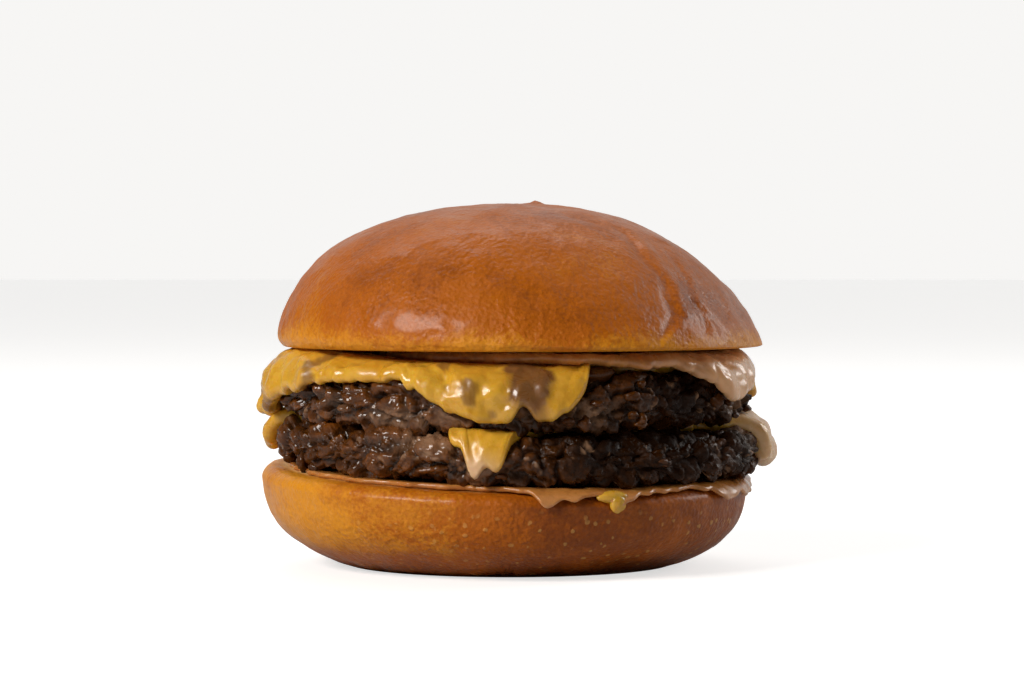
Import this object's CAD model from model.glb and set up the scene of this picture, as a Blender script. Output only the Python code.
"""The finished look of a double cheeseburger: egg-washed bun, crumbly beef, melted cheese and sauce.

Everything is worked out round the upright axis of the crown.  An azimuth of 0 looks to the front (-Y)
and a quarter turn looks to the right (+X).  Lengths are in metres.
"""

import math

import bmesh
import bpy
import numpy as np
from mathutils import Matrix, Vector


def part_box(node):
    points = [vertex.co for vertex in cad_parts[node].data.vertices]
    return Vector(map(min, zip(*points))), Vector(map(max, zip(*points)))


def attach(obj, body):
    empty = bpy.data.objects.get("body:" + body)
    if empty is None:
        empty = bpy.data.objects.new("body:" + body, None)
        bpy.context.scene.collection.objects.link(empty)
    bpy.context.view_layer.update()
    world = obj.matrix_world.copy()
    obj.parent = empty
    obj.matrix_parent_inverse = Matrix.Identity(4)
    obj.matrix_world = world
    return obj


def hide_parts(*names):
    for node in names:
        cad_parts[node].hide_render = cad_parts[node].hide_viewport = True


bl_info = {
    "name": "Double Cheeseburger",
    "version": (1, 0, 0),
    "blender": (4, 5, 0),
    "location": "View3D > Sidebar > Burger",
    "description": "Builds the bun, patties, cheese, sauce and crumbs of a double cheeseburger",
    "category": "Object",
}

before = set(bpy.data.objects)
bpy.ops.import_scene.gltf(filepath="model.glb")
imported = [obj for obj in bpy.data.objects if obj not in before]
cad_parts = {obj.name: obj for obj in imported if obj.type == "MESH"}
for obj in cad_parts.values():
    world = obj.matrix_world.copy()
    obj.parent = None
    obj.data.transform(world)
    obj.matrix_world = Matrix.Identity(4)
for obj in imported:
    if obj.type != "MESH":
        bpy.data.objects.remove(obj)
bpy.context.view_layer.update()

MM = 0.001
TAU = 2.0 * math.pi

# Sizes and heights that the frame gives
CROWN_LOW, CROWN_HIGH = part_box("bun_crown")
HEEL_LOW, HEEL_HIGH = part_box("bun_heel")
LOWER_LOW, LOWER_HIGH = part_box("patty_lower")
UPPER_LOW, UPPER_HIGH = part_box("patty_upper")
AXIS_X = 0.5 * (CROWN_LOW.x + CROWN_HIGH.x)
AXIS_Y = 0.5 * (CROWN_LOW.y + CROWN_HIGH.y)
CROWN_RADIUS = 0.5 * (CROWN_HIGH.x - CROWN_LOW.x)
CUT_HEIGHT = CROWN_LOW.z
HEEL_RADIUS = 0.5 * (HEEL_HIGH.x - HEEL_LOW.x)
HEEL_SHIFT = 0.5 * (HEEL_LOW.x + HEEL_HIGH.x) - AXIS_X

# Heights before the stack leans: the heel's cut slopes down to the front and the right
HEEL_HEIGHT = 20.8 * MM
SLOPE_TO_FRONT = 2.1 * MM
SLOPE_TO_RIGHT = 1.4 * MM
LOWER_PATTY = {
    "bottom": 22.3 * MM,
    "thickness": 8.7 * MM,
    "radius": 0.5 * (LOWER_HIGH.x - LOWER_LOW.x) - 0.3 * MM,
    "shift": 0.5 * (LOWER_LOW.x + LOWER_HIGH.x) - AXIS_X,
    "meets": 1.0,
    "char": 0.12,
    "smears": ((-20.0, 0.80, 8.0, 0.22, 1.0), (-7.0, 0.15, 5.0, 0.25, 1.0), (76.0, 0.7, 6.0, 0.3, 0.6)),
}
UPPER_PATTY = {
    "bottom": 33.1 * MM,
    "thickness": 10.2 * MM,
    "radius": 0.5 * (UPPER_HIGH.x - UPPER_LOW.x) - 0.3 * MM,
    "shift": 0.5 * (UPPER_LOW.x + UPPER_HIGH.x) - AXIS_X,
    "meets": -1.0,
    "char": 0.0,
    "smears": (
        (-10.0, 0.22, 9.0, 0.16, 1.5),
        (16.0, 0.25, 6.5, 0.24, 0.9),
        (-27.0, 0.15, 9.0, 0.16, 0.8),
        (-50.0, 0.30, 4.0, 0.2, 0.5),
        (72.0, 0.30, 9.0, 0.16, 0.6),
    ),
}
PATTY_RIM_WIDTH = 6.0 * MM
PATTY_ROUNDNESS = 2.5


# ---------------------------------------------------------------- settings


class BunSettings(bpy.types.PropertyGroup):
    """Shape and bake of the bun."""

    wrinkle_depth: bpy.props.FloatProperty(
        name="Wrinkle depth",
        description="Depth of the creases on the right of the crown",
        default=0.45 * MM,
        unit="LENGTH",
    )
    pimple_height: bpy.props.FloatProperty(
        name="Pimple height",
        description="Height of the little dough pimple near the top",
        default=0.9 * MM,
        unit="LENGTH",
    )
    chestnut: bpy.props.FloatVectorProperty(
        name="Chestnut",
        description="Crust where it baked darkest",
        default=(0.215, 0.046, 0.003),
        subtype="COLOR",
        size=3,
    )
    amber: bpy.props.FloatVectorProperty(
        name="Amber",
        description="Crust over most of the crown",
        default=(0.430, 0.106, 0.003),
        subtype="COLOR",
        size=3,
    )
    golden: bpy.props.FloatVectorProperty(
        name="Golden",
        description="Crust where it baked lightest",
        default=(0.690, 0.265, 0.014),
        subtype="COLOR",
        size=3,
    )
    crumb: bpy.props.FloatVectorProperty(
        name="Crumb",
        description="Soft bread on the cut faces",
        default=(0.720, 0.400, 0.140),
        subtype="COLOR",
        size=3,
    )


class FillingSettings(bpy.types.PropertyGroup):
    """Shape and colours of beef, cheese and sauce."""

    crumb_size: bpy.props.FloatProperty(
        name="Beef crumb",
        description="Width of the larger lumps of ground beef",
        default=8.0 * MM,
        unit="LENGTH",
    )
    cheese_thickness: bpy.props.FloatProperty(
        name="Cheese thickness",
        description="Thickness of a melted slice",
        default=2.2 * MM,
        unit="LENGTH",
    )
    beef: bpy.props.FloatVectorProperty(
        name="Beef",
        description="Seared surface of the lumps",
        default=(0.074, 0.021, 0.002),
        subtype="COLOR",
        size=3,
    )
    beef_fat: bpy.props.FloatVectorProperty(
        name="Beef fat",
        description="Light grains of fat and gristle",
        default=(0.300, 0.165, 0.090),
        subtype="COLOR",
        size=3,
    )
    cheese: bpy.props.FloatVectorProperty(
        name="Cheese",
        description="Melted cheese",
        default=(0.700, 0.385, 0.032),
        subtype="COLOR",
        size=3,
    )
    sauce: bpy.props.FloatVectorProperty(
        name="Sauce",
        description="Burger sauce",
        default=(0.560, 0.225, 0.050),
        subtype="COLOR",
        size=3,
    )


# ---------------------------------------------------------------- noise


def hashed(cells, seed):
    """An even random number from 0 to 1 for each whole-numbered cell."""
    mixed = (
        cells[..., 0] * 73856093 + cells[..., 1] * 19349663 + cells[..., 2] * 83492791
    ) + seed * 2654435
    mixed = (mixed ^ (mixed >> 13)) * 1274126177
    mixed = mixed & 0x7FFFFFFFFFFF
    mixed = (mixed ^ (mixed >> 16)) * 668265263
    return ((mixed >> 7) & 0xFFFFFF) / float(0x1000000)


def ripple(points, size, seed):
    """Smooth noise from -1 to 1 with features about this size."""
    scaled = points / size
    base = np.floor(scaled).astype(np.int64)
    part = scaled - base
    part = part * part * (3.0 - 2.0 * part)
    total = np.zeros(len(points))
    for corner in np.ndindex(2, 2, 2):
        weight = np.prod(np.where(np.array(corner) == 1, part, 1.0 - part), axis=1)
        total += weight * hashed(base + np.array(corner), seed)
    return 2.0 * total - 1.0


def layered(points, size, seed, layers=3, fall=0.5):
    """Several ripples, each half the size of the one before."""
    total = np.zeros(len(points))
    strength = 1.0
    for layer in range(layers):
        total += strength * ripple(points, size / 2**layer, seed + 17 * layer)
        strength *= fall
    return total


def lumps(points, size, seed):
    """Distance to the nearest and next nearest lump centre, in sizes, and the nearest lump's own number."""
    scaled = points / size
    base = np.floor(scaled).astype(np.int64)
    nearest = np.full(len(points), 9.0)
    second = np.full(len(points), 9.0)
    own = np.zeros(len(points))
    for step in np.ndindex(3, 3, 3):
        cell = base + np.array(step) - 1
        jitter = np.stack([hashed(cell, seed + k) for k in (0, 101, 202)], axis=1)
        distance = np.linalg.norm(cell + jitter - scaled, axis=1)
        closer = distance < nearest
        second = np.where(closer, nearest, np.minimum(second, distance))
        own = np.where(closer, hashed(cell, seed + 303), own)
        nearest = np.where(closer, distance, nearest)
    return nearest, second, own


def smooth(value):
    """0 below 0, 1 above 1 and an even rise between."""
    share = np.clip(value, 0.0, 1.0)
    return share * share * (3.0 - 2.0 * share)


def turn_between(azimuth, direction_deg):
    """Smallest turn from a direction to an azimuth, in degrees."""
    return (np.degrees(azimuth) - direction_deg + 180.0) % 360.0 - 180.0


def lobes_at(azimuth, lobes):
    """Sum of smooth (direction, half width, size) lobes round the axis."""
    total = np.zeros_like(azimuth)
    for direction, half_width, size in lobes:
        total = total + size * np.exp(-((turn_between(azimuth, direction) / half_width) ** 2))
    return total


def round_noise(azimuth, step_deg, seed):
    """Noise round the axis, from -1 to 1, that meets itself after a full turn."""
    radius = 57.3 / step_deg
    ring = np.stack(
        [radius * np.sin(azimuth), radius * np.cos(azimuth), np.zeros_like(azimuth)], axis=-1
    )
    return ripple(ring.reshape(-1, 3), 1.0, seed).reshape(azimuth.shape)


# ---------------------------------------------------------------- building meshes


def settled(radius, height, azimuth):
    """Points in space from radii, heights and azimuths, with the lean of the stack."""
    x, y = radius * np.sin(azimuth), -radius * np.cos(azimuth)
    slope = (SLOPE_TO_FRONT * y - SLOPE_TO_RIGHT * x) / (53.2 * MM)
    below = height / HEEL_HEIGHT
    above = np.clip((CUT_HEIGHT - height) / (CUT_HEIGHT - HEEL_HEIGHT), 0.0, 1.0)
    share = np.where(height < HEEL_HEIGHT, below, above)
    return np.stack([x + AXIS_X, y + AXIS_Y, height + slope * share], axis=-1)


def even_azimuths(count):
    return TAU * np.arange(count) / count


def ring_normals(points):
    """Outward directions of a grid of rings that close round the axis."""
    along = np.gradient(points, axis=0)
    around = np.roll(points, -1, axis=1) - np.roll(points, 1, axis=1)
    normals = np.cross(around, along)
    lengths = np.linalg.norm(normals, axis=2, keepdims=True)
    normals = -normals / np.maximum(lengths, 1e-12)
    middle = points.mean(axis=(0, 1))
    if np.sum((points - middle) * normals) < 0:
        normals = -normals
    return normals


def closed_rings(name, points, masks):
    """A closed piece from rings of points listed from the top to the bottom, and its named masks."""
    rows, count, _ = points.shape
    top, bottom = points[0].mean(axis=0), points[-1].mean(axis=0)
    vertices = np.concatenate([points.reshape(-1, 3), [top, bottom]])
    row, column = np.meshgrid(np.arange(rows - 1), np.arange(count), indexing="ij")
    after = (column + 1) % count
    quads = np.stack(
        [
            row * count + column,
            (row + 1) * count + column,
            (row + 1) * count + after,
            row * count + after,
        ],
        axis=-1,
    ).reshape(-1, 4)
    here = np.arange(count)
    there = (here + 1) % count
    poles = len(vertices) - 2
    last = (rows - 1) * count
    caps = [(poles, a, b) for a, b in zip(here.tolist(), there.tolist())]
    caps += [(poles + 1, last + b, last + a) for a, b in zip(here.tolist(), there.tolist())]
    mesh = bpy.data.meshes.new(name)
    mesh.from_pydata(vertices.tolist(), [], quads.tolist() + caps)
    mesh.validate()
    for mask_name, values in masks.items():
        grid = np.asarray(values).reshape(rows, count)
        full = np.concatenate([grid.reshape(-1), [grid[0].mean(), grid[-1].mean()]])
        layer = mesh.attributes.new(mask_name, "FLOAT", "POINT")
        layer.data.foreach_set("value", full.astype(np.float32))
    mesh.shade_smooth()
    piece = bpy.data.objects.new(name, mesh)
    bpy.context.scene.collection.objects.link(piece)
    return piece


def finished(piece, slot, material, *nodes):
    """Gives a piece its material, its place on the body and the nodes that it stands for."""
    piece.data.materials.append(material)
    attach(piece, "root")
    if nodes:
        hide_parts(*nodes)
    return piece


# ---------------------------------------------------------------- node groups


class Tree:
    """Short calls for adding nodes to one material or node group."""

    def __init__(self, tree):
        self.tree = tree

    def add(self, kind, inputs=None, **settings):
        made = self.tree.nodes.new(kind)
        for key, value in settings.items():
            setattr(made, key, value)
        for key, value in (inputs or {}).items():
            self.feed(made.inputs[key], value)
        return made

    def feed(self, socket, value):
        if isinstance(value, bpy.types.NodeSocket):
            self.tree.links.new(value, socket)
        elif isinstance(value, (tuple, list)) and socket.type == "RGBA" and len(value) == 3:
            socket.default_value = (*value, 1.0)
        else:
            socket.default_value = value

    def maths(self, operation, first, second=0.0, clamp=False):
        made = self.add("ShaderNodeMath", operation=operation, use_clamp=clamp)
        self.feed(made.inputs[0], first)
        self.feed(made.inputs[1], second)
        return made.outputs[0]

    def blend(self, share, first, second, kind="MIX"):
        made = self.add("ShaderNodeMix", data_type="RGBA", blend_type=kind)
        self.feed(made.inputs[0], share)
        self.feed(made.inputs[6], first)
        self.feed(made.inputs[7], second)
        return made.outputs[2]

    def span(self, value, low, high, out_low=0.0, out_high=1.0):
        made = self.add(
            "ShaderNodeMapRange",
            {"Value": value, "From Min": low, "From Max": high, "To Min": out_low, "To Max": out_high},
            interpolation_type="SMOOTHSTEP",
        )
        return made.outputs[0]

    def noise(self, place, scale, detail=3.0, roughness=0.55, distortion=0.0):
        made = self.add(
            "ShaderNodeTexNoise",
            {
                "Vector": place,
                "Scale": scale,
                "Detail": detail,
                "Roughness": roughness,
                "Distortion": distortion,
            },
        )
        return made.outputs[0]

    def cells(self, place, scale, feature="F1", randomness=1.0):
        made = self.add(
            "ShaderNodeTexVoronoi",
            {"Vector": place, "Scale": scale, "Randomness": randomness},
            feature=feature,
        )
        return made.outputs[0]

    def mask(self, name):
        return self.add("ShaderNodeAttribute", attribute_name=name).outputs["Fac"]

    def place(self):
        return self.add("ShaderNodeTexCoord").outputs["Object"]


def new_group(name, takes, gives):
    """An empty node group with these (name, socket kind, default) inputs and (name, kind) outputs."""
    group = bpy.data.node_groups.new(name, "ShaderNodeTree")
    for label, kind, default in takes:
        socket = group.interface.new_socket(label, in_out="INPUT", socket_type=kind)
        socket.default_value = default
    for label, kind in gives:
        group.interface.new_socket(label, in_out="OUTPUT", socket_type=kind)
    made = Tree(group)
    return made, made.add("NodeGroupInput").outputs, made.add("NodeGroupOutput").inputs


def mottle_group():
    """A mask from 0 to 1 that drifts in soft patches with finer flecks on them."""
    name = "Soft mottle"
    if name in bpy.data.node_groups:
        return bpy.data.node_groups[name]
    tree, takes, gives = new_group(
        name,
        (
            ("Patches per metre", "NodeSocketFloat", 60.0),
            ("Flecks per metre", "NodeSocketFloat", 900.0),
            ("Fleck share", "NodeSocketFloat", 0.3),
        ),
        (("Mask", "NodeSocketFloat"),),
    )
    place = tree.place()
    patches = tree.noise(place, takes["Patches per metre"], 4.0, 0.6, 0.4)
    flecks = tree.noise(place, takes["Flecks per metre"], 2.0, 0.6)
    mixed = tree.add(
        "ShaderNodeMix", {0: takes["Fleck share"], 2: patches, 3: flecks}, data_type="FLOAT"
    )
    tree.feed(gives["Mask"], tree.span(mixed.outputs[0], 0.32, 0.68))
    return tree.tree


def grain_group():
    """Fine relief: rounded grains with pits between them, as a height in metres."""
    name = "Fine grain"
    if name in bpy.data.node_groups:
        return bpy.data.node_groups[name]
    tree, takes, gives = new_group(
        name,
        (
            ("Grains per metre", "NodeSocketFloat", 1200.0),
            ("Ripples per metre", "NodeSocketFloat", 350.0),
            ("Grain height", "NodeSocketFloat", 0.0001),
            ("Ripple height", "NodeSocketFloat", 0.0002),
        ),
        (("Height", "NodeSocketFloat"),),
    )
    place = tree.place()
    grains = tree.cells(place, takes["Grains per metre"], "SMOOTH_F1")
    ripples = tree.noise(place, takes["Ripples per metre"], 4.0, 0.6)
    raised = tree.maths("MULTIPLY", tree.maths("SUBTRACT", 0.5, grains), takes["Grain height"])
    swell = tree.maths("MULTIPLY", ripples, takes["Ripple height"])
    tree.feed(gives["Height"], tree.maths("ADD", raised, swell))
    return tree.tree


def dots_group():
    """Scattered round dots, as a mask: the blisters and pale specks of a baked crust."""
    name = "Scattered dots"
    if name in bpy.data.node_groups:
        return bpy.data.node_groups[name]
    tree, takes, gives = new_group(
        name,
        (
            ("Dots per metre", "NodeSocketFloat", 350.0),
            ("Dot size", "NodeSocketFloat", 0.22),
            ("Share of places", "NodeSocketFloat", 0.4),
        ),
        (("Mask", "NodeSocketFloat"),),
    )
    place = tree.place()
    bent = tree.add(
        "ShaderNodeTexNoise", {"Vector": place, "Scale": 500.0, "Detail": 2.0}
    ).outputs["Color"]
    nudge = tree.add(
        "ShaderNodeVectorMath", {0: bent, "Scale": 0.0012}, operation="SCALE"
    ).outputs[0]
    moved = tree.add("ShaderNodeVectorMath", {0: place, 1: nudge}, operation="ADD").outputs[0]
    dots = tree.add("ShaderNodeTexVoronoi", {"Vector": moved, "Scale": takes["Dots per metre"]})
    picked = tree.add("ShaderNodeSeparateColor", {0: dots.outputs["Color"]}).outputs[0]
    chosen = tree.maths("LESS_THAN", picked, takes["Share of places"])
    size = tree.maths("MULTIPLY", takes["Dot size"], tree.maths("ADD", picked, 0.6))
    near = tree.span(tree.maths("SUBTRACT", dots.outputs["Distance"], size), 0.0, 0.12, 1.0, 0.0)
    tree.feed(gives["Mask"], tree.maths("MULTIPLY", near, chosen))
    return tree.tree


def wet_group():
    """Roughness of a surface where a film of grease comes and goes."""
    name = "Grease film"
    if name in bpy.data.node_groups:
        return bpy.data.node_groups[name]
    tree, takes, gives = new_group(
        name,
        (
            ("Films per metre", "NodeSocketFloat", 140.0),
            ("Wet roughness", "NodeSocketFloat", 0.15),
            ("Dry roughness", "NodeSocketFloat", 0.5),
        ),
        (("Roughness", "NodeSocketFloat"), ("Wet", "NodeSocketFloat")),
    )
    film = tree.noise(tree.place(), takes["Films per metre"], 4.0, 0.6, 0.6)
    wet = tree.span(film, 0.42, 0.60)
    rough = tree.add(
        "ShaderNodeMix",
        {0: wet, 2: takes["Dry roughness"], 3: takes["Wet roughness"]},
        data_type="FLOAT",
    )
    tree.feed(gives["Roughness"], rough.outputs[0])
    tree.feed(gives["Wet"], wet)
    return tree.tree


def use_group(tree, group, **values):
    """A group node in this tree; underscores in the names of its values stand for spaces."""
    made = tree.add("ShaderNodeGroup", node_tree=group)
    for key, value in values.items():
        tree.feed(made.inputs[key.replace("_", " ")], value)
    return made.outputs


def plain_material(name, **sockets):
    """A new material and its Principled shader with these fixed values."""
    material = bpy.data.materials.new(name)
    material.use_nodes = True
    shader = material.node_tree.nodes["Principled BSDF"]
    tree = Tree(material.node_tree)
    for key, value in sockets.items():
        tree.feed(shader.inputs[key.replace("_", " ")], value)
    return material, shader, tree


def relief(tree, shader, height, strength=1.0):
    """Feeds a height in metres to the shader as a bump."""
    bump = tree.add("ShaderNodeBump", {"Height": height, "Strength": strength, "Distance": 1.0})
    tree.feed(shader.inputs["Normal"], bump.outputs[0])


# ---------------------------------------------------------------- materials


def crust_material(name, settings, blister_share):
    """Egg-washed crust: chestnut to golden by how much it baked, with pale blisters and fine pores."""
    material, shader, tree = plain_material(
        name,
        Coat_Weight=0.16,
        Coat_Roughness=0.17,
        Specular_IOR_Level=0.16,
        Subsurface_Weight=0.04,
        Subsurface_Radius=(0.004, 0.002, 0.001),
        Subsurface_Scale=0.5,
    )
    patches = use_group(
        tree, mottle_group(), Patches_per_metre=55.0, Flecks_per_metre=1100.0, Fleck_share=0.35
    )["Mask"]
    drift = tree.maths("MULTIPLY", tree.maths("SUBTRACT", patches, 0.5), 0.42)
    baked = tree.maths("ADD", tree.mask("baked"), drift, clamp=True)
    low = tree.blend(tree.span(baked, 0.0, 0.5), tuple(settings.golden), tuple(settings.amber))
    colour = tree.blend(tree.span(baked, 0.5, 1.0), low, tuple(settings.chestnut))
    dots = use_group(
        tree, dots_group(), Dots_per_metre=440.0, Dot_size=0.15, Share_of_places=blister_share
    )["Mask"]
    dots = tree.maths("MULTIPLY", dots, tree.mask("blistered"))
    pale = tree.blend(0.42, colour, (0.74, 0.42, 0.12))
    colour = tree.blend(dots, colour, pale)
    colour = tree.blend(tree.mask("cut"), colour, tuple(settings.crumb))
    tree.feed(shader.inputs["Base Color"], colour)
    rough = use_group(
        tree, wet_group(), Films_per_metre=90.0, Wet_roughness=0.34, Dry_roughness=0.50
    )["Roughness"]
    tree.feed(shader.inputs["Roughness"], tree.maths("ADD", rough, tree.mask("cut"), clamp=True))
    grain = use_group(
        tree,
        grain_group(),
        Grains_per_metre=1100.0,
        Ripples_per_metre=420.0,
        Grain_height=0.00021,
        Ripple_height=0.00052,
    )["Height"]
    height = tree.maths("ADD", grain, tree.maths("MULTIPLY", dots, 0.00008))
    relief(tree, shader, height)
    return material


def beef_material(settings):
    """Seared ground beef: dark lumps, near-black crevices, light grains and a patchy film of grease."""
    material, shader, tree = plain_material(
        "seared_beef", Coat_Roughness=0.07, Specular_IOR_Level=0.12
    )
    patches = use_group(
        tree, mottle_group(), Patches_per_metre=170.0, Flecks_per_metre=1600.0, Fleck_share=0.45
    )["Mask"]
    dark = tuple(0.30 * part for part in settings.beef)
    light = tuple(min(1.0, 2.4 * part) for part in settings.beef)
    colour = tree.blend(patches, tuple(settings.beef), light)
    colour = tree.blend(tree.mask("charred"), colour, tuple(0.10 * part for part in settings.beef))
    colour = tree.blend(tree.mask("crevice"), colour, dark)
    colour = tree.blend(tree.mask("fatty"), colour, tuple(settings.beef_fat))
    tree.feed(shader.inputs["Base Color"], colour)
    film = use_group(tree, wet_group(), Films_per_metre=260.0, Wet_roughness=0.18, Dry_roughness=0.60)
    tree.feed(shader.inputs["Roughness"], film["Roughness"])
    tree.feed(shader.inputs["Coat Weight"], tree.span(tree.mask("charred"), 0.0, 0.9, 0.60, 0.02))
    grain = use_group(
        tree,
        grain_group(),
        Grains_per_metre=1500.0,
        Ripples_per_metre=900.0,
        Grain_height=0.00018,
        Ripple_height=0.00034,
    )["Height"]
    relief(tree, shader, grain)
    return material


def cheese_material(settings):
    """Melted cheese: warm yellow, a little see-through, browned and greasy in places."""
    material, shader, tree = plain_material(
        "melted_cheese",
        Coat_Weight=0.20,
        Coat_Roughness=0.18,
        Subsurface_Weight=0.25,
        Subsurface_Radius=(0.004, 0.0022, 0.0006),
        Subsurface_Scale=0.6,
    )
    patches = use_group(
        tree, mottle_group(), Patches_per_metre=110.0, Flecks_per_metre=1300.0, Fleck_share=0.25
    )["Mask"]
    deep = (settings.cheese[0] * 0.86, settings.cheese[1] * 0.76, settings.cheese[2] * 0.55)
    toasted = (0.17, 0.066, 0.020)
    colour = tree.blend(patches, deep, tuple(settings.cheese))
    colour = tree.blend(tree.mask("pale"), colour, (0.72, 0.47, 0.29))
    colour = tree.blend(tree.mask("greasy"), colour, toasted)
    tree.feed(shader.inputs["Base Color"], colour)
    rough = use_group(
        tree, wet_group(), Films_per_metre=150.0, Wet_roughness=0.20, Dry_roughness=0.40
    )["Roughness"]
    tree.feed(shader.inputs["Roughness"], rough)
    grain = use_group(
        tree,
        grain_group(),
        Grains_per_metre=900.0,
        Ripples_per_metre=300.0,
        Grain_height=0.00006,
        Ripple_height=0.00025,
    )["Height"]
    relief(tree, shader, grain)
    return material


def sauce_material(settings):
    """Burger sauce: wet, tan and slightly see-through, with darker meat juice run into it."""
    material, shader, tree = plain_material(
        "burger_sauce",
        Coat_Weight=0.30,
        Coat_Roughness=0.10,
        Specular_IOR_Level=0.35,
        Subsurface_Weight=0.20,
        Subsurface_Radius=(0.003, 0.0015, 0.0008),
        Subsurface_Scale=0.5,
    )
    patches = use_group(
        tree, mottle_group(), Patches_per_metre=140.0, Flecks_per_metre=1000.0, Fleck_share=0.3
    )["Mask"]
    juice = (settings.sauce[0] * 0.62, settings.sauce[1] * 0.52, settings.sauce[2] * 0.42)
    colour = tree.blend(patches, juice, tuple(settings.sauce))
    colour = tree.blend(tree.mask("creamy"), colour, (0.74, 0.44, 0.24))
    tree.feed(shader.inputs["Base Color"], colour)
    rough = use_group(
        tree, wet_group(), Films_per_metre=180.0, Wet_roughness=0.12, Dry_roughness=0.30
    )["Roughness"]
    tree.feed(shader.inputs["Roughness"], rough)
    grain = use_group(
        tree,
        grain_group(),
        Grains_per_metre=700.0,
        Ripples_per_metre=260.0,
        Grain_height=0.00010,
        Ripple_height=0.00035,
    )["Height"]
    relief(tree, shader, grain)
    return material


# ---------------------------------------------------------------- the bun

CROWN_FULLNESS_LEFT = (2.7, 1.7)
CROWN_FULLNESS_RIGHT = (2.5, 1.26)
CROWN_EDGE_LEFT = 2.6 * MM
CROWN_EDGE_RIGHT = 0.5 * MM
CROWN_EDGE_ROUND = 2.2 * MM

# Creases: (azimuth high up, azimuth low down, upper and lower height shares, depth share, half width)
CREASES = (
    (49.0, 34.0, 0.90, 0.02, 1.0, 1.5 * MM),
    (58.0, 47.0, 0.72, 0.05, 0.5, 1.2 * MM),
    (42.0, 41.0, 0.50, 0.20, 0.45, 1.0 * MM),
    (51.0, 54.0, 0.38, 0.04, 0.55, 1.1 * MM),
    (66.0, 63.0, 0.45, 0.06, 0.4, 1.5 * MM),
    (88.0, 83.0, 0.50, 0.04, 0.5, 1.6 * MM),
    (112.0, 105.0, 0.60, 0.05, 0.4, 1.6 * MM),
    (-118.0, -112.0, 0.40, 0.05, 0.4, 1.5 * MM),
    (168.0, 160.0, 0.55, 0.05, 0.4, 1.5 * MM),
)


def crown_profile(azimuth, angle):
    """Radius and height of the dome at an azimuth; angle runs from 0 at the top to a right angle."""
    right = smooth(0.5 + 0.5 * np.sin(azimuth))
    edge = CROWN_EDGE_LEFT + (CROWN_EDGE_RIGHT - CROWN_EDGE_LEFT) * right
    out_power = CROWN_FULLNESS_LEFT[0] + (CROWN_FULLNESS_RIGHT[0] - CROWN_FULLNESS_LEFT[0]) * right
    up_power = CROWN_FULLNESS_LEFT[1] + (CROWN_FULLNESS_RIGHT[1] - CROWN_FULLNESS_LEFT[1]) * right
    rise = CROWN_HIGH.z - CUT_HEIGHT - edge
    radius = (CROWN_RADIUS - 0.2 * MM) * np.sin(angle) ** (2.0 / out_power)
    height = CUT_HEIGHT + edge + rise * np.clip(np.cos(angle), 0.0, 1.0) ** (2.0 / up_power)
    return radius, height, edge


def crease_relief(azimuth, share, radius, depth):
    """How far the creases push the crust in, or the folds beside them out."""
    total = np.zeros_like(radius)
    for high_az, low_az, high, low, amount, width in CREASES:
        along = (high - share) / (high - low)
        wobble = 1.6 * np.sin(9.0 * share + high_az) + 0.8 * np.sin(23.0 * share + low_az)
        centre = high_az + (low_az - high_az) * np.clip(along, -0.2, 1.2) + wobble
        aside = np.radians(turn_between(azimuth, centre)) * radius
        fade = smooth(along / 0.18) * smooth((1.0 - along) / 0.12)
        groove = np.exp(-((aside / width) ** 2))
        fold = np.exp(-(((aside - 2.1 * width) / (1.5 * width)) ** 2))
        total += depth * amount * fade * (0.75 * fold - groove)
    return total


def crown(settings):
    """The domed top of the bun."""
    azimuth = even_azimuths(360)
    angles = np.linspace(0.03, 0.5 * math.pi, 112)
    azimuths, steps = np.meshgrid(azimuth, angles)
    radius, height, edge = crown_profile(azimuths, steps)
    # the rolled edge and the flat cut face under it
    turns = np.radians(np.linspace(8.0, 90.0, 9))[:, None]
    under = radius[-1] - CROWN_EDGE_ROUND
    rolled_radius = under + CROWN_EDGE_ROUND * np.cos(turns)
    rolled_height = CUT_HEIGHT + edge[-1] - edge[-1] * np.sin(turns)
    shares = np.array([0.985, 0.96, 0.92, 0.85, 0.7, 0.5, 0.2])[:, None]
    flat_radius = under * shares
    flat_height = np.full_like(flat_radius, CUT_HEIGHT)
    radius = np.vstack([radius, rolled_radius, flat_radius])
    height = np.vstack([height, rolled_height, flat_height])
    grid = np.broadcast_to(azimuth, radius.shape)
    points = settled(radius, height, grid)
    flat = points.reshape(-1, 3)
    top = (height - CUT_HEIGHT) / (CROWN_HIGH.z - CUT_HEIGHT)
    outside = smooth((top - 0.0) / 0.02)
    swell = 0.45 * MM * layered(flat, 26 * MM, 5, 2).reshape(radius.shape)
    swell += 0.17 * MM * layered(flat, 4 * MM, 8, 3).reshape(radius.shape)
    puckers = 0.16 * MM * round_noise(grid, 2.2, 31) * smooth((0.5 - top) / 0.5)
    creases = crease_relief(grid, top, radius, settings.wrinkle_depth)
    away = np.hypot(points[..., 0] - AXIS_X - 3.6 * MM, points[..., 1] - AXIS_Y - 3.0 * MM)
    pimple = settings.pimple_height * np.exp(-((away / (1.5 * MM)) ** 2)) * smooth((top - 0.5) / 0.2)
    moved = outside * (swell + puckers + creases) + pimple
    normals = ring_normals(points)
    points = points + normals * moved[..., None]
    points[..., 2] = np.where(radius > 0, np.maximum(points[..., 2], CUT_HEIGHT - 0.1 * MM), 0)
    golden_rim = smooth((0.24 - top) / 0.24)
    left = smooth(0.5 - 0.5 * np.sin(grid))
    baked = 0.60 - 0.44 * golden_rim - 0.04 * left + 0.10 * smooth(-creases / settings.wrinkle_depth)
    baked += 0.10 * layered(flat, 18 * MM, 71, 3).reshape(radius.shape)
    masks = {
        "baked": np.clip(baked, 0.0, 1.0),
        "blistered": 0.35 * smooth((0.5 - top) / 0.5),
        "cut": (radius < under - 1.2 * MM) & (top < 0.004),
    }
    return closed_rings("crown_bread", points, masks)


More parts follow.
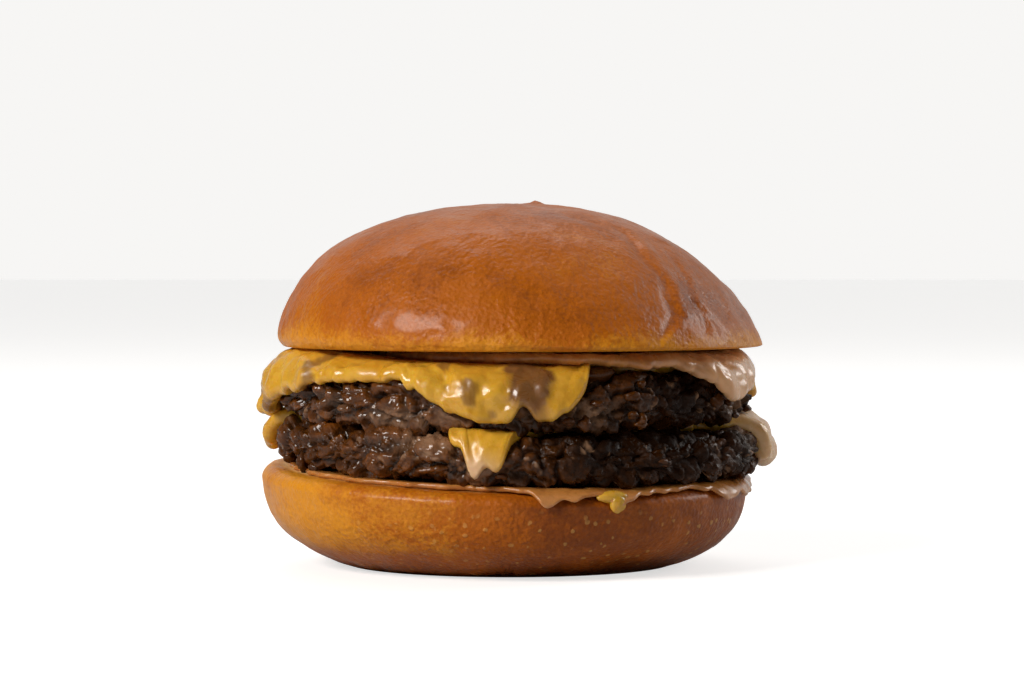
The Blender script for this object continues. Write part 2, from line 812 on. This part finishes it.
def heel():
    """The bowl-shaped bottom of the bun."""
    azimuth = even_azimuths(360)
    shoulder = 3.4 * MM
    shoulder_height = HEEL_HEIGHT - 0.8 * shoulder
    radius = HEEL_RADIUS - 0.2 * MM + HEEL_SHIFT * np.sin(azimuth)
    flat = radius - shoulder
    shares = np.array([0.1, 0.4, 0.7, 0.85, 0.93, 0.97])[:, None]
    top_radius, top_height = flat * shares, np.full((6, len(azimuth)), HEEL_HEIGHT)
    turns = np.radians(np.linspace(90.0, 0.0, 16))[:, None]
    round_radius = flat + shoulder * np.cos(turns)
    round_height = np.broadcast_to(
        shoulder_height + 0.8 * shoulder * np.sin(turns), round_radius.shape
    )
    down = np.linspace(0.015, 1.0, 64)[:, None]
    lost = 0.05 * down + 0.28 * down**3.5
    side_radius = radius * (1.0 - lost)
    side_height = np.broadcast_to(shoulder_height * (1.0 - down), side_radius.shape)
    foot = np.array([0.985, 0.9, 0.6, 0.2])[:, None]
    foot_radius = side_radius[-1] * foot
    foot_height = np.zeros_like(foot_radius)
    radii = np.vstack([top_radius, round_radius, side_radius, foot_radius])
    heights = np.vstack([top_height, round_height, side_height, foot_height])
    grid = np.broadcast_to(azimuth, radii.shape)
    points = settled(radii, heights, grid)
    flat_points = points.reshape(-1, 3)
    share = heights / HEEL_HEIGHT
    body = smooth(share / 0.08) * smooth((1.03 - share) / 0.06)
    swell = 0.40 * MM * layered(flat_points, 24 * MM, 15, 2).reshape(radii.shape)
    swell += 0.10 * MM * layered(flat_points, 4 * MM, 18, 3).reshape(radii.shape)
    dents = 0.25 * MM * round_noise(grid, 3.5, 33) * smooth((0.45 - share) / 0.4)
    points = points + ring_normals(points) * (body * (swell + dents))[..., None]
    points[..., 2] = np.maximum(points[..., 2], 0.0)
    left = smooth(0.20 - 0.95 * np.sin(grid))
    baked = 0.72 - 0.62 * left * smooth(share / 0.4) + 0.20 * smooth((0.30 - share) / 0.30)
    baked += 0.12 * layered(flat_points, 16 * MM, 73, 3).reshape(radii.shape)
    masks = {
        "baked": np.clip(baked, 0.0, 1.0),
        "blistered": smooth((0.9 - share) / 0.3) * (0.45 + 0.55 * (1.0 - left)),
        "cut": (radii < flat - 1.0 * MM) & (share > 0.98),
    }
    return closed_rings("heel_bread", points, masks)


class BURGER_OT_bun(bpy.types.Operator):
    """Builds the crown and the heel of the bun."""

    bl_idname = "burger.bun"
    bl_label = "Bun"

    def execute(self, context):
        settings = context.scene.burger_bun
        finished(crown(settings), "bun_crust", crust_material("crown_crust", settings, 0.25), "bun_crown")
        finished(heel(), "bun_crust", crust_material("heel_crust", settings, 0.75), "bun_heel")
        return {"FINISHED"}


# ---------------------------------------------------------------- the patties


def patty_grid(patty, columns):
    """Radii and heights of a plain patty: rings close together on the rim, wider on the faces."""
    azimuth = even_azimuths(columns)
    radius = patty["radius"] + patty["shift"] * np.sin(azimuth)
    flat = radius - PATTY_RIM_WIDTH
    middle = patty["bottom"] + 0.5 * patty["thickness"]
    faces = np.concatenate([[0.1, 0.4, 0.6, 0.72], np.linspace(0.78, 0.985, 17)])[:, None]
    turns = np.radians(np.linspace(90.0, -90.0, 58))[:, None]
    power = 2.0 / PATTY_ROUNDNESS
    across = np.abs(np.cos(turns)) ** power
    up = np.sign(np.sin(turns)) * np.abs(np.sin(turns)) ** power
    rim_radius = flat + PATTY_RIM_WIDTH * across
    rim_height = np.broadcast_to(middle + 0.5 * patty["thickness"] * up, rim_radius.shape)
    top_radius = flat * faces
    top_height = np.full_like(top_radius, patty["bottom"] + patty["thickness"])
    low_radius = (flat * faces)[::-1]
    low_height = np.full_like(low_radius, patty["bottom"])
    radii = np.vstack([top_radius, rim_radius, low_radius])
    heights = np.vstack([top_height, rim_height, low_height])
    return radii, heights, np.broadcast_to(azimuth, radii.shape)


def patty(name, shape, crumb, seed):
    """A patty of ground beef: lumps on lumps, with crevices between them."""
    radii, heights, azimuths = patty_grid(shape, 620)
    points = settled(radii, heights, azimuths)
    flat = points.reshape(-1, 3)
    bend = np.stack([layered(flat, 0.7 * crumb, seed + 7 * k, 3) for k in range(3)], axis=1)
    warped = flat + 0.26 * crumb * bend
    stretched = warped * np.array([1.0, 1.0, 1.25])
    big_near, big_next, big_own = lumps(stretched, crumb, seed + 10)
    mid_near, mid_next, mid_own = lumps(stretched, 0.42 * crumb, seed + 20)
    tiny_near, _, tiny_own = lumps(warped, 0.17 * crumb, seed + 30)
    big_gap = smooth((big_next - big_near) / 0.22)
    mid_gap = smooth((mid_next - mid_near) / 0.26)
    bulge = 1.3 * MM * (0.5 - big_near**2) - 1.2 * MM * (1.0 - big_gap) + 2.2 * MM * (big_own - 0.5)
    bulge += 0.7 * MM * (0.5 - mid_near**2) - 0.45 * MM * (1.0 - mid_gap) + 0.7 * MM * (mid_own - 0.5)
    bulge += 0.38 * MM * (0.5 - tiny_near) + 0.36 * MM * (tiny_own - 0.5)
    bulge += (
        0.6 * MM * layered(flat, 14 * MM, seed + 60, 2)
        + 0.16 * MM * layered(flat, 2.0 * MM, seed + 70, 3)
    )
    bulge = np.clip(bulge, -3.4 * MM, 1.7 * MM)
    face = smooth((heights - shape["bottom"] - 0.97 * shape["thickness"]) / (0.02 * shape["thickness"]))
    face += smooth((shape["bottom"] + 0.03 * shape["thickness"] - heights) / (0.02 * shape["thickness"]))
    inner = smooth((shape["radius"] - 8 * MM - radii) / (6 * MM))
    calm = 1.0 - 0.85 * face * (0.35 + 0.65 * inner)
    open_side = np.exp(-((turn_between(azimuths, 38.0) / 26.0) ** 2))
    sag = 0.9 * np.exp(-((turn_between(azimuths, -18.0) / 20.0) ** 2)) * (shape["meets"] < 0)
    near_rim = np.exp(-(((radii - shape["radius"] + 3.5 * MM) / (3.5 * MM)) ** 2))
    swell = (1.1 + sag - 1.6 * open_side) * MM * near_rim
    swell += 1.3 * MM * open_side * np.exp(-(((radii - shape["radius"] + 9 * MM) / (2.5 * MM)) ** 2))
    toward = shape["meets"] * (heights - shape["bottom"] - 0.5 * shape["thickness"]) > 0
    moved = bulge.reshape(radii.shape) * calm + swell * toward
    points = points + ring_normals(points) * moved[..., None]
    crevice = np.clip(0.75 * (1.0 - big_gap) + 0.45 * (1.0 - mid_gap), 0.0, 1.0)
    specks = (tiny_own > 0.95) * smooth((0.55 - tiny_near) / 0.2) * 0.7
    smears = np.zeros(len(flat))
    height = (flat[:, 2] - shape["bottom"]) / shape["thickness"]
    for direction, level, wide, tall, amount in shape["smears"]:
        aside = turn_between(azimuths.reshape(-1), direction) / wide
        smears += amount * np.exp(-(aside**2) - ((height - level) / tall) ** 2)
    smears = smears * (0.6 + 0.7 * layered(flat, 3 * MM, seed + 90, 3))
    side = smooth((np.sin(azimuths) + 0.35) / 0.9)
    charred = 0.75 * side + 0.35 * layered(flat, 9 * MM, seed + 95, 2).reshape(radii.shape)
    masks = {
        "crevice": crevice,
        "fatty": np.clip(specks + smears, 0.0, 0.95),
        "charred": np.clip(charred + shape["char"], 0.0, 0.95),
    }
    return closed_rings(name, points, masks)


class BURGER_OT_patties(bpy.types.Operator):
    """Builds the two patties."""

    bl_idname = "burger.patties"
    bl_label = "Patties"

    def execute(self, context):
        settings = context.scene.burger_filling
        beef = beef_material(settings)
        finished(patty("beef_lower", LOWER_PATTY, settings.crumb_size, 400), "beef", beef, "patty_lower")
        finished(patty("beef_upper", UPPER_PATTY, settings.crumb_size, 700), "beef", beef, "patty_upper")
        return {"FINISHED"}


# ---------------------------------------------------------------- cheese and sauce


def rim_path():
    """Points down a patty's rim and then straight down, and the directions away from them."""
    turns = np.radians(np.linspace(90.0, 0.0, 91))
    power = 2.0 / PATTY_ROUNDNESS
    out = PATTY_RIM_WIDTH * np.clip(np.cos(turns), 0.0, 1.0) ** power
    return out, np.sin(turns) ** power


def eased(out, down, step=0.1 * MM, window=17):
    """The same path as even steps of its length, with directions averaged over a short window."""
    before = np.linspace(-8 * MM, -0.1 * MM, 60)
    out = np.concatenate([before, out, [out[-1]]])
    down = np.concatenate([np.zeros(60), down, [down[-1] - 30 * MM]])
    length = np.concatenate([[0.0], np.cumsum(np.hypot(np.diff(out), np.diff(down)))]) - 8 * MM
    even = np.arange(-8 * MM, length[-1], step)
    r, z = np.interp(even, length, out), np.interp(even, length, down)
    away_r, away_z = -np.gradient(z), np.gradient(r)
    kernel = np.ones(window) / window
    away_r = np.convolve(np.pad(away_r, window // 2, mode="edge"), kernel, "valid")
    away_z = np.convolve(np.pad(away_z, window // 2, mode="edge"), kernel, "valid")
    size = np.hypot(away_r, away_z)
    return even, r, z, away_r / size, away_z / size


def patty_bed(shape):
    """What lies on a patty: over its top, down its rim and then straight down."""
    out, up = rim_path()
    half = 0.5 * shape["thickness"]
    path = eased(out, half * (up - 1.0))
    return {
        "path": path,
        "top": shape["bottom"] + shape["thickness"],
        "flat": lambda azimuth: shape["radius"]
        + 0.3 * MM
        + shape["shift"] * np.sin(azimuth)
        - PATTY_RIM_WIDTH,
        "bend": 0.75 * PATTY_RIM_WIDTH,
    }


def heel_bed():
    """What runs over the heel: over its cut face, its shoulder and down its side."""
    shoulder = 3.4 * MM
    turns = np.radians(np.linspace(90.0, 0.0, 31))
    out = shoulder * np.cos(turns)
    down = 0.8 * shoulder * (np.sin(turns) - 1.0)
    share = np.linspace(0.03, 0.8, 30)
    side = shoulder - 53.2 * MM * (0.05 * share + 0.28 * share**3.5)
    fall = -0.8 * shoulder - (HEEL_HEIGHT - 0.8 * shoulder) * share
    path = eased(np.concatenate([out, side]), np.concatenate([down, fall]))
    return {
        "path": path,
        "top": HEEL_HEIGHT,
        "flat": lambda azimuth: HEEL_RADIUS + HEEL_SHIFT * np.sin(azimuth) - shoulder,
        "bend": 0.8 * shoulder,
    }


def sheet(
    name, bed, reach, lift, thickness, slack,
    columns=540, rows=46, waves=0.8 * MM, heap=0.0, seed=1, masks=None,
):
    """A sheet that lies on a bed out to its reach, with a plump rounded edge.

    reach, lift, slack and thickness are functions of the azimuth or plain numbers: how far the sheet
    goes, the room under it, how much further off it hangs past the bend, and how thick it is.
    The heap is how much it is piled up just inside the bend.
    """
    azimuth = even_azimuths(columns)

    def at(value):
        return value(azimuth) if callable(value) else np.full(columns, float(value))

    far, under, thick, loose, pile = at(reach), at(lift), at(thickness), at(slack), at(heap)
    flat = bed["flat"](azimuth)
    start = np.minimum(flat - 4 * MM, 0.78 * far)
    inner = np.array([0.08, 0.4, 0.7, 0.88])[:, None] * start
    shares = (1.0 - (1.0 - np.linspace(0.0, 1.0, rows)) ** 1.35)[:, None]
    distance = np.vstack([inner, start + (far - start) * shares])
    turns = np.radians(np.linspace(78.0, -78.0, 9))[:, None]
    even, path_r, path_z, away_r, away_z = bed["path"]

    def along(distance):
        past = distance - flat
        r = np.where(past < -7 * MM, distance, flat + np.interp(past, even, path_r))
        z = bed["top"] + np.interp(past, even, path_z)
        over = smooth((past - bed["bend"] + 4 * MM) / (6 * MM))
        return r, z, np.interp(past, even, away_r), np.interp(past, even, away_z), over

    def lifted(distance, share):
        r, z, out, up, over = along(distance)
        bead = 1.0 + 0.35 * smooth((distance - far + 3.5 * MM) / (2.5 * MM))
        piled = pile * smooth((distance - 38 * MM) / (5 * MM)) * (1.0 - over)
        raised = under + loose * over + thick * (0.5 * bead * share + 0.5) + piled * (0.5 + 0.5 * share)
        return r + out * raised, z + up * raised

    top_r, top_z = lifted(distance, 1.0)
    tip_r, tip_z = lifted(far + 0.62 * thick * np.cos(turns), np.sin(turns))
    low_r, low_z = lifted(distance[::-1], -1.0)
    radii = np.vstack([top_r, tip_r, low_r])
    heights = np.vstack([top_z, tip_z, low_z])
    grid = np.broadcast_to(azimuth, radii.shape)
    full = np.vstack([distance, np.broadcast_to(far, tip_r.shape), distance[::-1]])
    points = settled(radii, heights, grid)
    past = full - flat
    over = smooth((past - bed["bend"] + 5 * MM) / (5 * MM))
    middle = settled(*lifted(full, 0.0), grid)
    wave = layered(middle.reshape(-1, 3), 5 * MM, seed, 3).reshape(radii.shape)
    push_r = np.interp(past, even, away_r) * waves * wave * over
    push_z = np.interp(past, even, away_z) * waves * wave * over
    points = points + np.stack(
        [push_r * np.sin(grid), -push_r * np.cos(grid), push_z], axis=-1
    )
    made = {key: make(grid, full, past, points) for key, make in (masks or {}).items()}
    return closed_rings(name, points, made)


def drape_reach(azimuth, stops, seed):
    """How far a slice reaches: easy curves between the stops, made a little ragged."""
    where = np.degrees((azimuth + math.pi) % TAU) - 180.0
    fine = np.linspace(-200.0, 200.0, 4001)
    wrapped = (fine + 180.0) % 360.0 - 180.0
    reach = np.interp(wrapped, [stop[0] for stop in stops], [stop[1] for stop in stops])
    kernel = np.hanning(33)
    reach = np.convolve(reach, kernel / kernel.sum(), "same")
    ragged = 0.6 * MM * round_noise(azimuth, 5.0, seed) + 0.5 * MM * round_noise(azimuth, 1.8, seed + 3)
    return np.interp(where, fine, reach) + ragged


def slice_reach(azimuth, half_side, turn_deg, lobes, seed):
    """How far a melted square slice reaches from its middle, measured along what it lies on."""
    turned = azimuth - math.radians(turn_deg)
    across, along = np.abs(np.cos(turned)) ** 8.0, np.abs(np.sin(turned)) ** 8.0
    reach = half_side * (across + along) ** (-1.0 / 8.0) + lobes_at(azimuth, lobes)
    return reach + 1.2 * MM * round_noise(azimuth, 6.0, seed) + 0.6 * MM * round_noise(azimuth, 2.2, seed + 3)


LOWER_SLICE = (
    (-16.0, 3.2, 5.0 * MM),
    (-10.0, 2.4, 6.5 * MM),
    (-5.0, 2.6, 5.5 * MM),
    (-10.0, 9.0, 3.0 * MM),
    (8.0, 8.0, -5.0 * MM),
    (-92.0, 15.0, 7.0 * MM),
    (92.0, 13.0, 6.5 * MM),
    (80.0, 6.0, 4.0 * MM),
    (178.0, 12.0, 5.0 * MM),
)
# How far the upper slice reaches round the burger: (direction, reach)
UPPER_DRAPE = (
    (-180.0, 51.0 * MM),
    (-150.0, 54.0 * MM),
    (-118.0, 55.0 * MM),
    (-100.0, 60.5 * MM),
    (-85.0, 61.0 * MM),
    (-75.0, 57.5 * MM),
    (-66.0, 54.5 * MM),
    (-52.0, 52.0 * MM),
    (-38.0, 51.0 * MM),
    (-30.0, 50.8 * MM),
    (-22.0, 53.0 * MM),
    (-15.0, 56.0 * MM),
    (-9.0, 57.5 * MM),
    (-2.5, 57.5 * MM),
    (0.5, 53.5 * MM),
    (4.0, 56.5 * MM),
    (8.0, 56.0 * MM),
    (12.0, 53.5 * MM),
    (16.0, 49.5 * MM),
    (19.0, 45.0 * MM),
    (24.0, 41.0 * MM),
    (66.0, 41.0 * MM),
    (80.0, 49.0 * MM),
    (93.0, 52.0 * MM),
    (125.0, 47.0 * MM),
    (160.0, 49.0 * MM),
    (180.0, 51.0 * MM),
)
UPPER_SAUCE = (
    (-4.0, 10.0, 2.0 * MM),
    (14.0, 16.0, 5.5 * MM),
    (38.0, 14.0, 4.0 * MM),
    (60.0, 14.0, 8.0 * MM),
    (80.0, 13.0, 5.5 * MM),
    (140.0, 22.0, 5.0 * MM),
)
LOWER_SAUCE = (
    (5.5, 2.6, 3.2 * MM),
    (11.0, 4.0, 1.2 * MM),
    (-62.0, 14.0, 1.5 * MM),
    (22.0, 5.0, 1.2 * MM),
    (14.0, 18.0, 2.0 * MM),
    (-40.0, 14.0, 1.6 * MM),
    (64.0, 16.0, 1.5 * MM),
    (-120.0, 14.0, 2.0 * MM),
    (170.0, 6.0, 5.0 * MM),
)


class BURGER_OT_cheese(bpy.types.Operator):
    """Builds the two melted slices of cheese."""

    bl_idname = "burger.cheese"
    bl_label = "Cheese"

    def execute(self, context):
        settings = context.scene.burger_filling
        cheese = cheese_material(settings)

        def pale_right(grid, full, past, points):
            corner = np.exp(-((turn_between(grid, 95.0) / 26.0) ** 2)) * smooth((past + 2 * MM) / (5 * MM))
            tip = np.exp(-((turn_between(grid, -10.0) / 5.0) ** 2)) * smooth((past - 6 * MM) / (3 * MM))
            return 0.95 * corner + 0.8 * tip

        def greasy_front(grid, full, past, points):
            between = np.exp(-((turn_between(grid, 1.5) / 5.0) ** 2)) * smooth((past + 6 * MM) / (4 * MM))
            blotches = layered(points.reshape(-1, 3), 5 * MM, 90, 3).reshape(grid.shape)
            spots = smooth((blotches - 0.35) / 0.35) * smooth((past + 4 * MM) / (4 * MM))
            return np.clip(between * (0.70 + 0.7 * blotches) + 0.7 * spots, 0.0, 0.95)

        lower = sheet(
            "cheese_slice_lower",
            patty_bed(LOWER_PATTY),
            lambda azimuth: slice_reach(azimuth, 38.0 * MM, 42.0, LOWER_SLICE, 51),
            0.3 * MM,
            lambda azimuth: 0.8 * settings.cheese_thickness
            + lobes_at(azimuth, ((92.0, 22.0, 1.8 * MM), (-90.0, 20.0, 0.8 * MM))),
            0.25 * MM,
            seed=61,
            masks={"pale": pale_right, "greasy": lambda grid, *rest: np.zeros_like(grid)},
        )
        upper = sheet(
            "cheese_slice_upper",
            patty_bed(UPPER_PATTY),
            lambda azimuth: drape_reach(azimuth, UPPER_DRAPE, 57),
            0.3 * MM,
            lambda azimuth: settings.cheese_thickness
            + lobes_at(azimuth, ((-90.0, 26.0, 0.5 * MM), (60.0, 30.0, -0.9 * MM))),
            0.5 * MM,
            waves=1.1 * MM,
            heap=lambda azimuth: lobes_at(azimuth, ((-72.0, 34.0, 2.5 * MM), (-125.0, 24.0, 2.0 * MM))),
            seed=67,
            masks={"pale": lambda grid, *rest: np.zeros_like(grid), "greasy": greasy_front},
        )
        finished(lower, "cheese", cheese, "cheese_lower")
        finished(upper, "cheese", cheese, "cheese_upper")
        return {"FINISHED"}


class BURGER_OT_sauce(bpy.types.Operator):
    """Builds the sauce on the heel and the sauce under the crown."""

    bl_idname = "burger.sauce"
    bl_label = "Sauce"

    def execute(self, context):
        settings = context.scene.burger_filling
        sauce = sauce_material(settings)

        def creamy_right(grid, full, past, points):
            lip = np.exp(-((turn_between(grid, 70.0) / 28.0) ** 2))
            return 0.95 * lip * smooth((past + 4 * MM) / (4 * MM))

        def run(azimuth, reach, lobes, seed):
            ragged = (
                1.0 * MM * round_noise(azimuth, 6.0, seed)
                + 0.5 * MM * round_noise(azimuth, 2.0, seed + 5)
            )
            return reach + lobes_at(azimuth, lobes) + ragged

        def upper_reach(azimuth):
            held_back = 5.0 * MM * smooth(-1.4 * np.sin(azimuth) - 0.35)  # where cheese fills the gap
            return run(azimuth, 42.0 * MM - held_back, UPPER_SAUCE, 87)

        lower = sheet(
            "sauce_film_lower",
            heel_bed(),
            lambda azimuth: run(azimuth, 50.0 * MM, LOWER_SAUCE, 81),
            0.3 * MM,
            0.8 * MM,
            0.5 * MM,
            waves=0.25 * MM,
            seed=83,
            masks={"creamy": lambda grid, full, past, points: 0.35 * smooth((past - 2 * MM) / (4 * MM))},
        )
        upper = sheet(
            "sauce_film_upper",
            patty_bed(UPPER_PATTY),
            upper_reach,
            lambda azimuth: 2.7 * MM - 0.7 * MM * smooth(np.sin(azimuth)),
            lambda azimuth: 1.7 * MM + 1.2 * MM * smooth(np.sin(azimuth) - 0.2),
            lambda azimuth: 1.6 * MM - 1.4 * MM * smooth(np.sin(azimuth)),
            seed=89,
            masks={"creamy": creamy_right},
        )
        finished(lower, "sauce", sauce, "sauce_lower")
        finished(upper, "sauce", sauce, "sauce_upper")
        return {"FINISHED"}


# ---------------------------------------------------------------- crumbs and drops


def ball(detail):
    """Corners and faces of a round ball of radius 1."""
    made = bmesh.new()
    bmesh.ops.create_icosphere(made, subdivisions=detail, radius=1.0)
    corners = np.array([vertex.co[:] for vertex in made.verts])
    faces = np.array([[vertex.index for vertex in face.verts] for face in made.faces])
    made.free()
    return corners, faces


def gathered(name, bits, masks, detail=3, rough=0.22):
    """One piece from many small lumps; a bit is (azimuth, radius, height, width, depth, tallness)."""
    corners, faces = ball(detail)
    all_corners, all_faces = [], []
    for number, (azimuth_deg, radius, height, wide, deep, tall) in enumerate(bits):
        turn = math.radians(azimuth_deg)
        wander = layered(corners + 7.3 * number, 0.9, 900 + number, 3)[:, None]
        shaped = corners * (1.0 + rough * wander) * np.array([wide, deep, tall])
        across, out = shaped[:, 0], -shaped[:, 1]
        x = across * math.cos(turn) + out * math.sin(turn)
        y = across * math.sin(turn) - out * math.cos(turn)
        centre = settled(np.array([radius]), np.array([height]), np.array([turn]))[0]
        all_faces.append(faces + number * len(corners))
        all_corners.append(np.stack([x, y, shaped[:, 2]], axis=1) + centre)
    mesh = bpy.data.meshes.new(name)
    mesh.from_pydata(np.concatenate(all_corners).tolist(), [], np.concatenate(all_faces).tolist())
    for mask_name, value in masks.items():
        layer = mesh.attributes.new(mask_name, "FLOAT", "POINT")
        layer.data.foreach_set("value", np.full(len(mesh.vertices), value, np.float32))
    mesh.shade_smooth()
    piece = bpy.data.objects.new(name, mesh)
    bpy.context.scene.collection.objects.link(piece)
    return piece


def loose_crumbs():
    """Crumbs of beef that stand out from the rims of both patties."""
    chance = np.random.default_rng(5)
    bits = [
        (-66.0, 51.6 * MM, 23.0 * MM, 1.3 * MM, 1.3 * MM, 2.0 * MM),
        (-60.0, 51.0 * MM, 22.4 * MM, 1.6 * MM, 1.4 * MM, 1.2 * MM),
        (74.0, 52.4 * MM, 24.0 * MM, 1.2 * MM, 1.2 * MM, 1.6 * MM),
        (82.0, 52.8 * MM, 25.5 * MM, 0.8 * MM, 1.8 * MM, 0.8 * MM),
        (20.0, 46.0 * MM, 43.6 * MM, 4.5 * MM, 3.5 * MM, 1.8 * MM),
        (31.0, 46.5 * MM, 43.2 * MM, 3.5 * MM, 3.0 * MM, 1.5 * MM),
    ]
    for low, high, radius in ((22.6, 30.5, 51.6), (33.5, 42.0, 51.0)):
        for _ in range(46):
            size = chance.uniform(0.6, 1.5) * MM
            bits.append(
                (
                    chance.uniform(-180.0, 180.0),
                    (radius + chance.uniform(-0.8, 0.6)) * MM,
                    chance.uniform(low, high) * MM,
                    size * chance.uniform(0.8, 1.7),
                    size,
                    size * chance.uniform(0.7, 1.2),
                )
            )
    return gathered("beef_crumbs", bits, {"crevice": 0.1, "fatty": 0.0, "charred": 0.5}, rough=0.35)


def cheese_drop():
    """A drop of cheese that ran onto the front of the heel."""
    bits = [
        (21.5, 52.4 * MM, 20.3 * MM, 3.4 * MM, 1.4 * MM, 1.3 * MM),
        (22.6, 53.0 * MM, 18.9 * MM, 1.9 * MM, 1.2 * MM, 2.0 * MM),
    ]
    return gathered("cheese_drop", bits, {"pale": 0.0, "greasy": 0.12}, detail=4, rough=0.10)


class BURGER_OT_bits(bpy.types.Operator):
    """Builds the loose crumbs of beef and the drop of cheese on the heel."""

    bl_idname = "burger.bits"
    bl_label = "Crumbs and drops"

    def execute(self, context):
        finished(loose_crumbs(), "beef", bpy.data.materials["seared_beef"])
        finished(cheese_drop(), "cheese", bpy.data.materials["melted_cheese"])
        return {"FINISHED"}


# ---------------------------------------------------------------- the stage

EYE_DISTANCE = 0.75
EYE_HEIGHT = 0.067
AIM = Vector((-0.001, 0.0, 0.0493))
EYE_LENS = 118.4


def softbox(name, place, aim, width, height, power, colour):
    """A rectangular lamp that faces a point."""
    lamp = bpy.data.lights.new(name, "AREA")
    lamp.shape = "RECTANGLE"
    lamp.size, lamp.size_y = width, height
    lamp.energy = power
    lamp.color = colour
    holder = bpy.data.objects.new(name, lamp)
    holder.location = place
    holder.rotation_euler = (Vector(aim) - Vector(place)).to_track_quat("-Z", "Y").to_euler()
    bpy.context.scene.collection.objects.link(holder)
    return holder


def surroundings():
    """A pale room that is brightest behind the burger and to its right, and dim at the front."""
    world = bpy.data.worlds.new("pale_room")
    bpy.context.scene.world = world
    world.use_nodes = True
    tree = Tree(world.node_tree)
    background = world.node_tree.nodes["Background"]
    direction = tree.add("ShaderNodeTexCoord").outputs["Generated"]
    towards = tree.add(
        "ShaderNodeVectorMath", {0: direction, 1: (0.50, 0.84, 0.22)}, operation="DOT_PRODUCT"
    ).outputs["Value"]
    glow = tree.span(towards, -0.05, 0.9, 0.05, 0.62)
    seen = tree.add("ShaderNodeLightPath").outputs["Is Camera Ray"]
    strength = tree.add("ShaderNodeMix", {0: seen, 2: glow, 3: 0.93}, data_type="FLOAT")
    tree.feed(background.inputs["Color"], (1.0, 0.99, 0.975))
    tree.feed(background.inputs["Strength"], strength.outputs[0])


def floor():
    """A plain pale floor."""
    size = 12.0
    mesh = bpy.data.meshes.new("floor")
    corners = [(-size, -size, 0.0), (size, -size, 0.0), (size, size, 0.0), (-size, size, 0.0)]
    mesh.from_pydata(corners, [], [(0, 1, 2, 3)])
    ground = bpy.data.objects.new("floor", mesh)
    bpy.context.scene.collection.objects.link(ground)
    ground.location.z = -0.05 * MM
    material, shader, tree = plain_material("pale_floor", Roughness=0.6)
    grain = use_group(tree, mottle_group(), Patches_per_metre=6.0, Flecks_per_metre=200.0)["Mask"]
    colour = tree.blend(grain, (0.62, 0.615, 0.61), (0.64, 0.635, 0.63))
    tree.feed(shader.inputs["Base Color"], colour)
    seen = tree.add("ShaderNodeLightPath").outputs["Is Camera Ray"]
    tree.feed(shader.inputs["Emission Color"], (1.0, 0.995, 0.985))
    tree.feed(shader.inputs["Emission Strength"], tree.maths("MULTIPLY", seen, 0.66))
    mesh.materials.append(material)


class BURGER_OT_stage(bpy.types.Operator):
    """Builds the floor, the lamps, the surroundings and the camera."""

    bl_idname = "burger.stage"
    bl_label = "Stage"

    def execute(self, context):
        floor()
        surroundings()
        middle = (0.0, 0.0, 0.045)
        softbox("key", (-1.30, -1.15, 1.10), middle, 1.00, 0.55, 38.0, (1.0, 0.97, 0.93))
        softbox("top", (-0.25, 0.90, 1.30), middle, 1.10, 0.40, 3.0, (1.0, 0.99, 0.97))
        softbox("side", (1.10, 0.50, 0.60), middle, 0.50, 0.50, 5.0, (1.0, 0.98, 0.95))
        lens = bpy.data.cameras.new("camera")
        lens.lens = EYE_LENS
        lens.sensor_width = 36.0
        camera = bpy.data.objects.new("camera", lens)
        camera.location = (AIM.x, -EYE_DISTANCE, EYE_HEIGHT)
        camera.rotation_euler = (AIM - camera.location).to_track_quat("-Z", "Y").to_euler()
        context.scene.collection.objects.link(camera)
        context.scene.camera = camera
        context.scene.view_settings.view_transform = "Standard"
        return {"FINISHED"}


# ---------------------------------------------------------------- panel


class BURGER_PT_kitchen(bpy.types.Panel):
    """Lists the steps that build the burger."""

    bl_idname = "BURGER_PT_kitchen"
    bl_label = "Burger"
    bl_space_type = "VIEW_3D"
    bl_region_type = "UI"
    bl_category = "Burger"

    def draw(self, context):
        for settings in (context.scene.burger_bun, context.scene.burger_filling):
            for label in settings.bl_rna.properties.keys():
                if label not in {"rna_type", "name"}:
                    self.layout.prop(settings, label)
        for step in STEPS:
            self.layout.operator(step.bl_idname)


STEPS = (
    BURGER_OT_stage,
    BURGER_OT_bun,
    BURGER_OT_patties,
    BURGER_OT_cheese,
    BURGER_OT_sauce,
    BURGER_OT_bits,
)
CLASSES = (BunSettings, FillingSettings, *STEPS, BURGER_PT_kitchen)


def register():
    for kind in CLASSES:
        bpy.utils.register_class(kind)
    bpy.types.Scene.burger_bun = bpy.props.PointerProperty(type=BunSettings)
    bpy.types.Scene.burger_filling = bpy.props.PointerProperty(type=FillingSettings)


def unregister():
    del bpy.types.Scene.burger_filling
    del bpy.types.Scene.burger_bun
    for kind in reversed(CLASSES):
        bpy.utils.unregister_class(kind)


def main():
    register()
    bpy.ops.burger.stage()
    bpy.ops.burger.bun()
    bpy.ops.burger.patties()
    bpy.ops.burger.cheese()
    bpy.ops.burger.sauce()
    bpy.ops.burger.bits()


if __name__ == "__main__":
    main()
